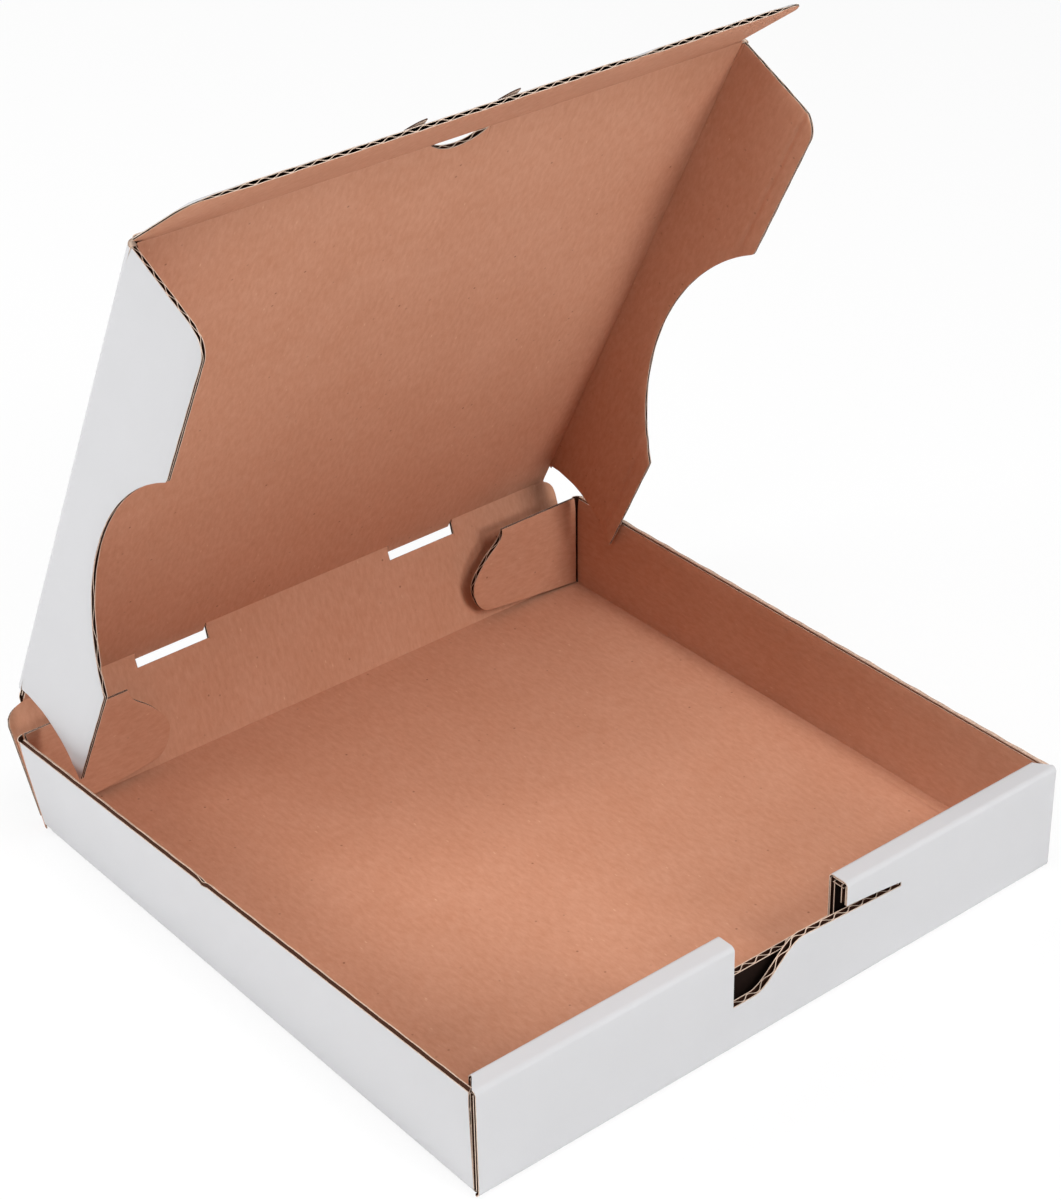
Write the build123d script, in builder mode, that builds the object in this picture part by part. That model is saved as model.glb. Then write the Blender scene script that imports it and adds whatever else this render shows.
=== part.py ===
"""An open pizza box folded from one blank of corrugated board, drawn panel by panel.

The origin is at the middle of the tray's underside, +Z is up and the front wall faces -Y.
Every panel that moves is drawn on the inner face of the board, from its fold line outwards.
"""
import os
from math import cos, radians, sin, tan

from build123d import *

# Board, and the gaps that folding leaves, in millimetres
board = 2.8
crease_gap = 0.15
layer_clearance = 0.3
overrun = 2.0

# Tray
tray_width = 250.0
tray_depth = 252.0
wall_height = 42.0
left_wall_lean_front = 1.3
left_wall_lean_rear = 9.0
right_wall_lean_front = 0.5
right_wall_lean_rear = 0.5

# Front wall: an outer ply, a top strip and an inner ply rolled over the side walls' tuck flaps
roll_end_inset = 3.8
roll_bend_radius = 1.8
tuck_flap_length = 58.0
notch_width = 49.0
notch_offset = 2.0
inner_lip_height = 24.7
outer_lip_low = 17.8
outer_lip_high = 31.2
lip_curve_inset = 9.0
lip_curve_width = 21.0
slot_length = 25.0
slot_height = 3.0
slot_drop = 2.4
slot_end_radius = 1.2

# Rear wall, leaning back, and how far it leans once the lid is shut
rear_wall_end_inset = 1.5
rear_wall_height = 43.0
rear_wall_lean = 17.6
rear_wall_lean_shut = 3.0
rear_corner_radius = 7.0
vent_width = 31.0
vent_middle = 57.0
vent_depth = 5.5
vent_tab_length = 4.4

# Lid, raised above the level by its angle
lid_angle = 63.0
crease_bevel = 27.0
lid_flap_clearance = 0.7
lid_front_clearance = 1.8
half_moon_chord = 24.0
half_moon_depth = 5.2

# Lid side flaps
lid_flap_floor_gap = 2.9
lid_flap_front_gap = 0.5
lid_flap_corner_radius = 8.0
lid_flap_tip_clearance = 1.0
lid_flap_root_inset = 9.0
lid_flap_belly_inset = 12.5
lid_flap_belly_width = 13.0
finger_cut_width = 117.0
finger_cut_depth = 21.5
finger_cut_middle = 116.0

# Lid front flap, with two small ears that stand up behind its free edge
front_flap_width = 37.0
front_flap_fold = 28.5
front_flap_end_margin = 1.4
front_flap_taper = 1.0
front_flap_corner_radius = 8.0
ear_width = 8.0
ear_rise = 2.6
ear_root = 6.0
ear_thickness = 0.9
ear_radius = 1.5
left_ear_place = -38.0
right_ear_place = -2.5

# Rear corner flaps, folded in from the side walls
corner_flap_top_drop = 1.0
corner_flap_floor_gap = 0.6
corner_flap_top_length = 37.0
corner_flap_length = 52.0
corner_flap_belly_height = 17.0
corner_flap_neck_height = 30.0
corner_flap_foot_length = 44.0
corner_flap_foot_rise = 5.0

# Places that follow from the sizes above
front_y = -tray_depth / 2
front_crease_y = front_y + board
inner_ply_y = front_crease_y + board
roll_back_y = inner_ply_y + board
rear_crease_y = tray_depth / 2 - board
side_crease_x = tray_width / 2 - board
corner_flap_y = rear_crease_y - layer_clearance - board
side_wall_end_y = corner_flap_y - crease_gap
wall_rise = wall_height - board
roll_half = tray_width / 2 - roll_end_inset
rear_wall_width = tray_width - 2 * rear_wall_end_inset
notch_left = notch_offset - notch_width / 2
notch_right = notch_offset + notch_width / 2
hinge_y = rear_crease_y + rear_wall_height * sin(radians(rear_wall_lean))
hinge_z = board + rear_wall_height * cos(radians(rear_wall_lean))
shut_hinge_y = rear_crease_y + rear_wall_height * sin(radians(rear_wall_lean_shut))
lid_half = side_crease_x - lid_flap_clearance - board
lid_length = shut_hinge_y - roll_back_y - lid_front_clearance - board
lid_flap_width = rear_wall_height * cos(radians(rear_wall_lean_shut)) - lid_flap_floor_gap
lid_flap_tip = shut_hinge_y - corner_flap_y + lid_flap_tip_clearance
lid_front_y = hinge_y - lid_length * cos(radians(lid_angle))
lid_front_z = hinge_z + lid_length * sin(radians(lid_angle))
wall_leans = {-1: (left_wall_lean_front, left_wall_lean_rear), 1: (right_wall_lean_front, right_wall_lean_rear)}
sides = {"left": -1, "right": 1}


def rising(elevation):
    """The direction that rises at an elevation, in degrees, while it heads for the front."""
    return (0, -cos(radians(elevation)), sin(radians(elevation)))


def fold_plane(y, z, elevation):
    """The inner face of a panel that rises from a fold line along X; its normal points inwards."""
    return Plane((0, y, z), (1, 0, 0), (0, -sin(radians(elevation)), -cos(radians(elevation))))


def bevel_plane(point, elevation):
    """A cut along X through a point, facing along a rising direction."""
    return Plane(point, (1, 0, 0), rising(elevation))


# Tray: floor, leaning side walls, rolled front wall
with BuildPart() as tray:
    floor_end_y = rear_crease_y - crease_gap
    with BuildSketch():
        with Locations((0, (front_crease_y + floor_end_y) / 2)):
            Rectangle(2 * side_crease_x, floor_end_y - front_crease_y)
    extrude(amount=board)

    for side, leans in wall_leans.items():
        for y, lean in zip((front_crease_y, side_wall_end_y), leans):
            up = Vector(wall_rise * sin(radians(lean)), wall_rise * cos(radians(lean)))
            out = Vector(board * cos(radians(lean)), -board * sin(radians(lean)))
            with BuildSketch(Plane((side * side_crease_x, y, board), (side, 0, 0), (0, -side, 0))):
                with BuildLine():
                    Polyline((0, -board), (0, 0), up, up + out, out)
                    CenterArc((0, 0), board, -90, 90 - lean)
                make_face()
        loft()

    with BuildSketch(Plane.YZ.offset(-tray_width / 2)):
        with BuildLine():
            Polyline((front_crease_y, 0), (front_crease_y, wall_rise), (front_y, wall_rise), (front_y, board))
            CenterArc((front_crease_y, board), board, 180, 90)
        make_face()
    extrude(amount=tray_width)

    with BuildSketch(Plane.XY.offset(wall_rise)):
        with BuildLine():
            half = tray_width / 2
            corners = [(-half, front_y), (half, front_y), (roll_half, roll_back_y), (-roll_half, roll_back_y)]
            Polyline(*corners, close=True)
        make_face()
    extrude(amount=board)

    with BuildSketch(Plane.XY.offset(board)):
        with Locations((0, inner_ply_y + board / 2)):
            Rectangle(2 * roll_half, board)
    extrude(amount=wall_rise - board)
    fillet(tray.edges().filter_by(Axis.X).group_by(Axis.Z)[-1], roll_bend_radius)

    tuck_start = side_crease_x + board / 2
    tuck_end = side_crease_x - tuck_flap_length
    tuck_height = wall_rise - board - 2 * layer_clearance
    for side in sides.values():
        with Locations((side * (tuck_start + tuck_end) / 2, front_crease_y + board / 2, wall_height / 2)):
            Box(tuck_start - tuck_end, board, tuck_height)

    # The finger notch: an S-shaped lip in the outer ply runs out into a slot, the inner ply's lip is straight
    notch_top = wall_height + overrun
    curve_start = notch_left + lip_curve_inset
    curve_end = curve_start + lip_curve_width
    slot_end = notch_right + slot_length
    slot_floor = outer_lip_high - slot_drop
    with BuildSketch(Plane.XZ.offset(overrun - front_y)):
        with BuildLine():
            Polyline(
                (curve_start, outer_lip_low),
                (notch_left, outer_lip_low),
                (notch_left, notch_top),
                (notch_right, notch_top),
                (notch_right, outer_lip_high + slot_height),
                (slot_end, slot_floor + slot_height),
                (slot_end, slot_floor),
                (notch_right, outer_lip_high),
                (curve_end, outer_lip_high),
            )
            Spline((curve_end, outer_lip_high), (curve_start, outer_lip_low), tangents=[(-1, 0), (-1, 0)])
        make_face()
        fillet(vertices().group_by(Axis.X)[-1], slot_end_radius)
    extrude(amount=-(overrun + board), mode=Mode.SUBTRACT)

    with BuildSketch(Plane.XZ.offset(-front_crease_y)):
        with Locations((notch_offset, (inner_lip_height + notch_top) / 2)):
            Rectangle(notch_width, notch_top - inner_lip_height)
    extrude(amount=-(2 * board + overrun), mode=Mode.SUBTRACT)

# Rear wall: one panel with two vents cut out of its top edge
with BuildPart() as rear_wall:
    wall_elevation = 90 + rear_wall_lean
    with BuildSketch(fold_plane(rear_crease_y, board, wall_elevation)):
        with Locations((0, rear_wall_height / 2)):
            Rectangle(rear_wall_width, rear_wall_height - 2 * crease_gap)
        fillet(vertices().group_by(Axis.Y)[-1], rear_corner_radius)
        with Locations((-vent_middle, rear_wall_height), (vent_middle, rear_wall_height)):
            Rectangle(vent_width, 2 * vent_depth, mode=Mode.SUBTRACT)
    extrude(amount=-board)
    wall_end = Vector(0, hinge_y, hinge_z) - Vector(*rising(wall_elevation)) * crease_gap
    split(bisect_by=bevel_plane(wall_end, wall_elevation + crease_bevel), keep=Keep.BOTTOM)

# Lid: a flat panel; the boards cut from the vents stay on it and reach past the hinge
with BuildPart() as lid:
    lid_plane = fold_plane(hinge_y, hinge_z, lid_angle)
    half_moon_radius = ((half_moon_chord / 2) ** 2 + half_moon_depth**2) / (2 * half_moon_depth)
    with BuildSketch(lid_plane):
        with Locations((0, lid_length / 2)):
            Rectangle(2 * (lid_half - crease_gap), lid_length - 2 * crease_gap)
        with Locations((0, lid_length - half_moon_depth + half_moon_radius)):
            Circle(half_moon_radius, mode=Mode.SUBTRACT)
    extrude(amount=-board)
    lid_start = Vector(0, hinge_y, hinge_z) + Vector(*rising(lid_angle)) * crease_gap
    split(bisect_by=bevel_plane(lid_start, lid_angle - crease_bevel), keep=Keep.TOP)
    with BuildSketch(lid_plane):
        tab_root = crease_gap + board * tan(radians(crease_bevel))
        with Locations((-vent_middle, (tab_root - vent_tab_length) / 2), (vent_middle, (tab_root - vent_tab_length) / 2)):
            Rectangle(vent_width - 2 * layer_clearance, tab_root + vent_tab_length)
    extrude(amount=-board)

# Lid side flaps: folded square to the lid, each with a long finger cut and a pointed rear tip
lid_flaps = {}
for name, side in sides.items():
    with BuildPart() as lid_flap:
        flap_front = lid_length - lid_flap_front_gap
        cut_front = finger_cut_middle + finger_cut_width / 2
        cut_rear = finger_cut_middle - finger_cut_width / 2
        with BuildSketch(Plane((side * lid_half, hinge_y, hinge_z), rising(lid_angle), (1, 0, 0))):
            with BuildLine():
                Polyline(
                    (lid_flap_root_inset, crease_gap),
                    (flap_front, crease_gap),
                    (flap_front, lid_flap_width),
                    (cut_front, lid_flap_width),
                )
                ThreePointArc(
                    (cut_front, lid_flap_width),
                    (finger_cut_middle, lid_flap_width - finger_cut_depth),
                    (cut_rear, lid_flap_width),
                )
                Line((cut_rear, lid_flap_width), (lid_flap_tip, lid_flap_width))
                ThreePointArc(
                    (lid_flap_tip, lid_flap_width),
                    (lid_flap_belly_inset, lid_flap_belly_width),
                    (lid_flap_root_inset, crease_gap),
                )
            make_face()
            fillet(vertices().group_by(Axis.X)[-1].sort_by(Axis.Y)[-1], lid_flap_corner_radius)
        extrude(amount=side * board)
    lid_flaps[name] = lid_flap.part

# Lid front flap: a strip, half folded, with the two ears on its outer face
with BuildPart() as lid_front_flap:
    flap_plane = fold_plane(lid_front_y, lid_front_z, lid_angle - front_flap_fold)
    root_half = lid_half + front_flap_end_margin
    free_half = root_half - front_flap_taper
    with BuildSketch(flap_plane):
        with BuildLine():
            Polyline(
                (-root_half, crease_gap),
                (root_half, crease_gap),
                (free_half, front_flap_width),
                (-free_half, front_flap_width),
                close=True,
            )
        make_face()
        fillet(vertices().group_by(Axis.Y)[-1], front_flap_corner_radius)
    extrude(amount=-board)
    with BuildSketch(flap_plane.offset(-board)):
        ear_middle = front_flap_width + (ear_rise - ear_root) / 2
        with Locations((left_ear_place, ear_middle), (right_ear_place, ear_middle)):
            RectangleRounded(ear_width, ear_root + ear_rise, ear_radius)
    extrude(amount=-ear_thickness)

# Rear corner flaps: folded in behind the lid flaps, with an S-shaped end
corner_flaps = {}
for name, side in sides.items():
    lean_rear = wall_leans[side][1]
    flap_top = wall_rise - corner_flap_top_drop
    top_shift = flap_top * tan(radians(lean_rear))
    with BuildPart() as corner_flap:
        with BuildSketch(Plane((side * side_crease_x, corner_flap_y, board), (-side, 0, 0), (0, side, 0))):
            with BuildLine():
                foot = (corner_flap_foot_length, corner_flap_foot_rise)
                neck = (corner_flap_top_length, flap_top)
                belly = (corner_flap_length, corner_flap_belly_height)
                waist = ((corner_flap_top_length + corner_flap_length) / 2, corner_flap_neck_height)
                Polyline(neck, (crease_gap - top_shift, flap_top), (crease_gap, corner_flap_floor_gap), foot)
                Spline(foot, belly, waist, neck, tangents=[(1, 0), (0, 1)])
            make_face()
        extrude(amount=side * board)
    corner_flaps[name] = corner_flap.part

# One file for each piece
pieces = {
    "tray": tray.part,
    "rear_wall": rear_wall.part,
    "lid": lid.part,
    "lid_left_flap": lid_flaps["left"],
    "lid_right_flap": lid_flaps["right"],
    "lid_front_flap": lid_front_flap.part,
    "rear_left_corner_flap": corner_flaps["left"],
    "rear_right_corner_flap": corner_flaps["right"],
}
os.makedirs("parts", exist_ok=True)
for name, piece in pieces.items():
    piece.label = name
    export_step(piece, f"parts/{name}.step")
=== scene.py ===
"""Looks of an open pizza box of corrugated board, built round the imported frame: liners, medium, bends, creases."""

import logging
import math
from dataclasses import dataclass, field
from enum import Enum
from functools import partial
from typing import Callable, Sequence

import bmesh
import bpy
import numpy as np
from mathutils import Matrix, Vector


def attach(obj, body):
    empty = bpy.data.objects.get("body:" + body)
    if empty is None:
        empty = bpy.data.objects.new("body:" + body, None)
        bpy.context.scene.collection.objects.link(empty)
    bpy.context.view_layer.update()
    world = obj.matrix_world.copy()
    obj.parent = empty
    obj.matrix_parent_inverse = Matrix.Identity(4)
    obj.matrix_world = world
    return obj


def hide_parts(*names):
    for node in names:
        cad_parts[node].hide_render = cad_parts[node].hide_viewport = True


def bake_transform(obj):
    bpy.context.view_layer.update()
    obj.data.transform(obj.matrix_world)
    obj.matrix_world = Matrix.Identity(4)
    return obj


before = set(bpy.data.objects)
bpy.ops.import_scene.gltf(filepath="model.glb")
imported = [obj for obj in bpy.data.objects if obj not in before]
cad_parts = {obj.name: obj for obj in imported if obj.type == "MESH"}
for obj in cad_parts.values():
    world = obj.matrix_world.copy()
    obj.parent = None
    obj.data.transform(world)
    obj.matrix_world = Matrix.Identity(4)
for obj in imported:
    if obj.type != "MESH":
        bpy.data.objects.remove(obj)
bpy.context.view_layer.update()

LOG = logging.getLogger("pizza_box")
MM = 0.001
Grid = np.ndarray
Outline = Callable[[Grid, Grid], tuple[Grid, Grid]]
Place = Callable[[Grid, Grid, Grid], Grid]
Across = Callable[[Grid, Grid], Grid]
Along = Callable[[Grid], Grid]
Edge = Along | float
Span = tuple[float, float]
Tree = bpy.types.NodeTree
Socket = bpy.types.NodeSocket
Input = Socket | float | tuple[float, float, float, float]
ACROSS = np.array([1.0, 0.0, 0.0])
REAR = np.array([0.0, 1.0, 0.0])
UP = np.array([0.0, 0.0, 1.0])
ROWS = np.linspace(0.0, 1.0, 9)
ENDS = np.array([0.0, 1.0])
BLANK = "blank"
FLUTE_MM = 6.4
SHARP_DEG = 32.0
WAVE_FACTOR = 20.0  # Blender's wave texture multiplies its coordinates by this before the sine


class Skin(Enum):
    """The papers of the board and one painted shade, numbered as the material slots of every piece."""

    KRAFT = 0
    WHITE = 1
    # the medium's dark brown is partly its own colour, partly painted shade for the flute tunnels
    MEDIUM = 2
    EDGE = 3
    # near-black painted shade on the brown kraft faces inside the rolled front wall
    PAINTED_SHADE = 4


def linear(colour: str) -> tuple[float, float, float, float]:
    """Turn an sRGB hex colour into linear light.

    Args:
        colour: Six hex digits, red, green and blue.

    Returns:
        Linear red, green and blue with an alpha of one.
    """
    parts = np.array([int(colour[i:i + 2], 16) for i in (0, 2, 4)]) / 255.0
    light = np.where(parts <= 0.04045, parts / 12.92, ((parts + 0.055) / 1.055) ** 2.4)
    return (*light.tolist(), 1.0)


def add_node(tree: Tree, kind: str, settings: dict[str, object],
             sockets: dict[int | str, object]) -> bpy.types.Node:
    """Add one shader node, set it and wire it.

    Args:
        tree: Node tree that takes the node.
        kind: Blender's name of the node type.
        settings: Properties of the node itself.
        sockets: Input by name or number; an output socket is linked, anything else is set as a constant.

    Returns:
        The new node.
    """
    node = tree.nodes.new(kind)
    for name, value in settings.items():
        setattr(node, name, value)
    for key, value in sockets.items():
        if isinstance(value, Socket):
            tree.links.new(value, node.inputs[key])
        else:
            node.inputs[key].default_value = value
    return node


def new_material(name: str) -> tuple[bpy.types.Material, Tree]:
    """Make an empty node material.

    Args:
        name: Name of the real material.

    Returns:
        The material and its node tree.
    """
    material = bpy.data.materials.new(name)
    material.use_nodes = True
    material.node_tree.nodes.clear()
    return material, material.node_tree


def object_place(tree: Tree) -> Socket:
    """Give the place on the object, in metres."""
    return add_node(tree, "ShaderNodeTexCoord", {}, {}).outputs["Object"]


def sheet_place(tree: Tree) -> Socket:
    """Give the place on the flat blank, in metres across and along the flutes."""
    return add_node(tree, "ShaderNodeUVMap", {"uv_map": BLANK}, {}).outputs["UV"]


def noise(tree: Tree, vector: Socket, size_mm: float, detail: float, roughness: float = 0.5) -> Socket:
    """Add a noise texture with blots of about one size, octaves of finer noise and the share of each octave."""
    return add_node(tree, "ShaderNodeTexNoise", {}, {
        "Vector": vector, "Scale": 1.0 / (size_mm * MM), "Detail": detail, "Roughness": roughness}).outputs["Fac"]


def blend(tree: Tree, share: Input, first: Input, second: Input, kind: str = "MIX") -> Socket:
    """Blend two colours by the second one's share, in one of Blender's named ways."""
    return add_node(tree, "ShaderNodeMix", {"data_type": "RGBA", "blend_type": kind}, {
        "Factor": share, "A": first, "B": second}).outputs["Result"]


def stretch(tree: Tree, value: Socket, span: Span, onto: Span = (0.0, 1.0)) -> Socket:
    """Map one span of values onto another, clipped to its ends."""
    ends = {"From Min": span[0], "From Max": span[1], "To Min": onto[0], "To Max": onto[1]}
    return add_node(tree, "ShaderNodeMapRange", {}, {"Value": value} | ends).outputs["Result"]


def relief(tree: Tree, height: Socket, strength: float, depth_mm: float, under: Socket | None) -> Socket:
    """Raise a surface by a height that is worth some depth at one, on top of the relief under it."""
    sockets = {"Height": height, "Strength": strength, "Distance": depth_mm * MM}
    return add_node(tree, "ShaderNodeBump", {}, sockets | ({"Normal": under} if under else {})).outputs["Normal"]


def washboard(tree: Tree, strength: float, depth_mm: float) -> Socket:
    """Press the flutes faintly through a liner, one ridge to each flute."""
    ridges = add_node(
        tree, "ShaderNodeTexWave", {"wave_type": "BANDS", "bands_direction": "X", "wave_profile": "SIN"},
        {"Vector": sheet_place(tree), "Scale": math.tau / WAVE_FACTOR / (FLUTE_MM * MM)})
    return relief(tree, ridges.outputs["Fac"], strength, depth_mm, None)


def close_paper(tree: Tree, colour: Socket, roughness: float, specular: float, normal: Socket | None) -> None:
    """Add a paper's shader and its output.

    Args:
        tree: Node tree that takes the nodes.
        colour: Colour of the paper.
        roughness: Roughness of its surface.
        specular: Strength of its sheen.
        normal: Normal of its surface, if it has a relief.
    """
    sockets = {"Base Color": colour, "Roughness": roughness, "Specular IOR Level": specular}
    shader = add_node(tree, "ShaderNodeBsdfPrincipled", {}, sockets | ({"Normal": normal} if normal else {}))
    add_node(tree, "ShaderNodeOutputMaterial", {}, {"Surface": shader.outputs["BSDF"]})


@dataclass(frozen=True)
class KraftLiner:
    """Brown recycled kraft paper: matt, softly grained, with dark and light flecks and short fibres."""

    colour: str = "CA957A"
    cloud_colour: str = "BF876A"
    dark_fleck: str = "6E3E27"
    light_fleck: str = "DDB497"
    cloud_mm: float = 26.0
    grain_mm: float = 1.6
    grain_run: float = 0.35
    grain_share: float = 0.74
    contrast: Span = (0.36, 0.64)
    dark_cell_mm: float = 4.8
    dark_rim: Span = (0.12, 0.03)
    pale_cell_mm: float = 2.64
    pale_rim: Span = (0.12, 0.02)
    fleck_pick: Span = (0.55, 1.0)
    fleck_strength: float = 0.8
    ridge_mm: float = 0.05
    ridge_strength: float = 0.5
    tooth_mm: float = 0.8
    tooth_depth_mm: float = 0.1
    tooth_strength: float = 0.4
    roughness: float = 0.85
    specular: float = 0.2

    def build(self) -> bpy.types.Material:
        """Make the paper's node material.

        Returns:
            The finished material.
        """
        material, tree = new_material("brown_kraft_liner")
        coords = object_place(tree)
        # soft clouds a couple of centimetres wide, as recycled pulp settles unevenly
        clouds = noise(tree, coords, self.cloud_mm, 3.0)
        # fine grain, drawn out along the paper's run
        run = add_node(tree, "ShaderNodeMapping", {}, {
            "Vector": sheet_place(tree), "Scale": (1.0, self.grain_run, 1.0)}).outputs["Vector"]
        grain = noise(tree, run, self.grain_mm, 4.0, 0.7)
        tone = add_node(tree, "ShaderNodeMix", {"data_type": "FLOAT"}, {
            "Factor": self.grain_share, "A": clouds, "B": grain}).outputs["Result"]
        base = blend(tree, stretch(tree, tone, self.contrast), linear(self.colour), linear(self.cloud_colour))
        # sparse dark flecks, each about half a millimetre
        dark = self.flecks(tree, coords, self.dark_cell_mm, self.dark_rim)
        darker = blend(tree, dark, base, linear(self.dark_fleck))
        # fewer pale flecks of unbrowned pulp
        pale = self.flecks(tree, run, self.pale_cell_mm, self.pale_rim)
        lighter = blend(tree, pale, darker, linear(self.light_fleck))
        # paper tooth, finer than a millimetre, breaks up the matt surface on top of the flutes' faint ridges
        ridges = washboard(tree, self.ridge_strength, self.ridge_mm)
        tooth = noise(tree, coords, self.tooth_mm, 3.0, 0.6)
        normal = relief(tree, tooth, self.tooth_strength, self.tooth_depth_mm, ridges)
        close_paper(tree, lighter, self.roughness, self.specular, normal)
        return material

    def flecks(self, tree: Tree, vector: Socket, size_mm: float, rim: Span) -> Socket:
        """Scatter small spots, one in some of the cells of a random net.

        Args:
            tree: Node tree that takes the nodes.
            vector: Coordinates of the net, in metres.
            size_mm: Size of a cell.
            rim: Where a spot's blurred rim starts and where it is full, as shares of a cell.

        Returns:
            A factor that is largest inside the spots.
        """
        net = add_node(tree, "ShaderNodeTexVoronoi", {}, {"Vector": vector, "Scale": 1.0 / (size_mm * MM)})
        spot = stretch(tree, net.outputs["Distance"], rim)
        pick = add_node(tree, "ShaderNodeSeparateColor", {}, {"Color": net.outputs["Color"]}).outputs["Red"]
        some = stretch(tree, pick, self.fleck_pick, (0.0, self.fleck_strength))
        return add_node(tree, "ShaderNodeMath", {"operation": "MULTIPLY"}, {0: spot, 1: some}).outputs["Value"]


@dataclass(frozen=True)
class WhiteLiner:
    """White coated top liner: pale, a little satin, with the flutes just telegraphing through."""

    colour: str = "CFCFD1"
    grey: str = "CACACC"
    cloud_mm: float = 35.0
    ridge_mm: float = 0.04
    ridge_strength: float = 0.35
    tooth_mm: float = 1.0
    tooth_depth_mm: float = 0.05
    tooth_strength: float = 0.15
    roughness: float = 0.6
    specular: float = 0.3

    def build(self) -> bpy.types.Material:
        """Make the liner's node material.

        Returns:
            The finished material.
        """
        material, tree = new_material("white_coated_liner")
        coords = object_place(tree)
        # faint clouds in the white, a few centimetres wide
        base = blend(tree, noise(tree, coords, self.cloud_mm, 3.0), linear(self.colour), linear(self.grey))
        # paper tooth under the coating, on top of the flutes' faint ridges
        ridges = washboard(tree, self.ridge_strength, self.ridge_mm)
        tooth = noise(tree, coords, self.tooth_mm, 2.0)
        normal = relief(tree, tooth, self.tooth_strength, self.tooth_depth_mm, ridges)
        close_paper(tree, base, self.roughness, self.specular, normal)
        return material


@dataclass(frozen=True)
class PlainPaper:
    """Uncoated paper seen only on cuts: the fluted medium, partly darkened as painted shade, or the raw edge of a
    liner; also the near-black painted shade inside the rolled front wall.
    """

    name: str
    colour: str
    pulp_mm: float = 10 / 9
    pulp_span: Span = (0.3, 0.7)
    pulp_tone: Span = (0.8, 1.08)
    roughness: float = 0.9
    specular: float = 0.15

    def build(self) -> bpy.types.Material:
        """Make the paper's node material.

        Returns:
            The finished material.
        """
        material, tree = new_material(self.name)
        # uneven pulp, about a millimetre across, keeps a cut edge from looking like plastic
        pulp = noise(tree, object_place(tree), self.pulp_mm, 2.0)
        tone = stretch(tree, pulp, self.pulp_span, self.pulp_tone)
        base = blend(tree, 1.0, linear(self.colour), tone, "MULTIPLY")
        close_paper(tree, base, self.roughness, self.specular, None)
        return material


@dataclass
class Papers:
    """The papers of the board, in slot order."""

    kraft: KraftLiner = field(default_factory=KraftLiner)
    white: WhiteLiner = field(default_factory=WhiteLiner)
    # the medium's own dark brown, darkened further as painted shade for the flute tunnels at the cut edges
    medium: PlainPaper = field(default_factory=lambda: PlainPaper("fluted_medium_with_painted_shade", "46291C"))
    edge: PlainPaper = field(default_factory=lambda: PlainPaper("raw_paper_edge", "DCC3B0"))
    # near-black painted shade in place of the shade inside the roll; those faces are brown kraft under any lamp
    hollow: PlainPaper = field(default_factory=lambda: PlainPaper("painted_shade_inside_the_roll", "1E110C"))
    slots: list[bpy.types.Material] = field(default_factory=list)

    def build(self) -> None:
        """Make all materials, in the order of Skin."""
        self.slots = [finish.build() for finish in (self.kraft, self.white, self.medium, self.edge, self.hollow)]


@dataclass
class Patch:
    """A bit of surface for a piece: points and blank coordinates in millimetres, four-sided faces, skins."""

    points: Grid
    blank: Grid
    faces: Grid
    skins: Grid


def cells(index: Grid) -> Grid:
    """Give the four-sided faces between the rows and columns of a grid of point numbers."""
    return np.stack([index[:-1, :-1], index[1:, :-1], index[1:, 1:], index[:-1, 1:]], -1).reshape(-1, 4)


def as_given(c: Grid, r: Grid) -> tuple[Grid, Grid]:
    """Take columns and rows themselves as the flat place."""
    return c, r


def plate(outline: Outline, place: Place, columns: Grid, rows: Grid, depths: tuple[Across | float, Across | float],
          skins: tuple[Skin, Skin, Skin], across: Across | None = None) -> Patch:
    """Make a closed thin plate from two grids of one outline.

    Column c and row r give a place (a, b) on the flat sheet through the outline. The first grid lies at the first
    depth, the second at the second depth, and a rim joins their borders.

    Args:
        outline: Flat place of each column and row.
        place: Point in space of a flat place and a depth.
        columns: First parameter's values.
        rows: Second parameter's values.
        depths: Depth of the two faces, as numbers or functions of the flat place.
        skins: Papers of the first face, the second face and the rim.
        across: Place across the flutes of each flat place; the first flat coordinate if left out.

    Returns:
        The closed plate.
    """
    c, r = np.meshgrid(columns, rows, indexing="ij")
    a, b = outline(c, r)
    first, second = (depth(a, b) if callable(depth) else np.full_like(a, depth) for depth in depths)
    points = np.concatenate([place(a, b, first).reshape(-1, 3), place(a, b, second).reshape(-1, 3)])
    over = a if across is None else across(a, b)
    blank = np.tile(np.stack([over, a + b - over], -1).reshape(-1, 2), (2, 1))
    index = np.arange(c.size).reshape(c.shape)
    border = np.concatenate([index[:, 0], index[-1, 1:], index[-2::-1, -1], index[0, -2:0:-1]])
    following = np.roll(border, -1)
    rim = np.stack([border, following, following + c.size, border + c.size], -1)
    sheet = cells(index)
    faces = np.concatenate([sheet, sheet[:, ::-1] + c.size, rim])
    numbers = np.repeat([skin.value for skin in skins], [len(sheet), len(sheet), len(rim)])
    return Patch(points, blank, faces, numbers)


def waver(along: Grid) -> Grid:
    """Give an uneven line between about minus one and one: three sines of unlike wavelengths, added up."""
    return 0.5 * np.sin(along / 1.9) + 0.3 * np.sin(along / 4.3 + 1.0) + 0.2 * np.sin(along / 11.0 + 2.0)


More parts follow.
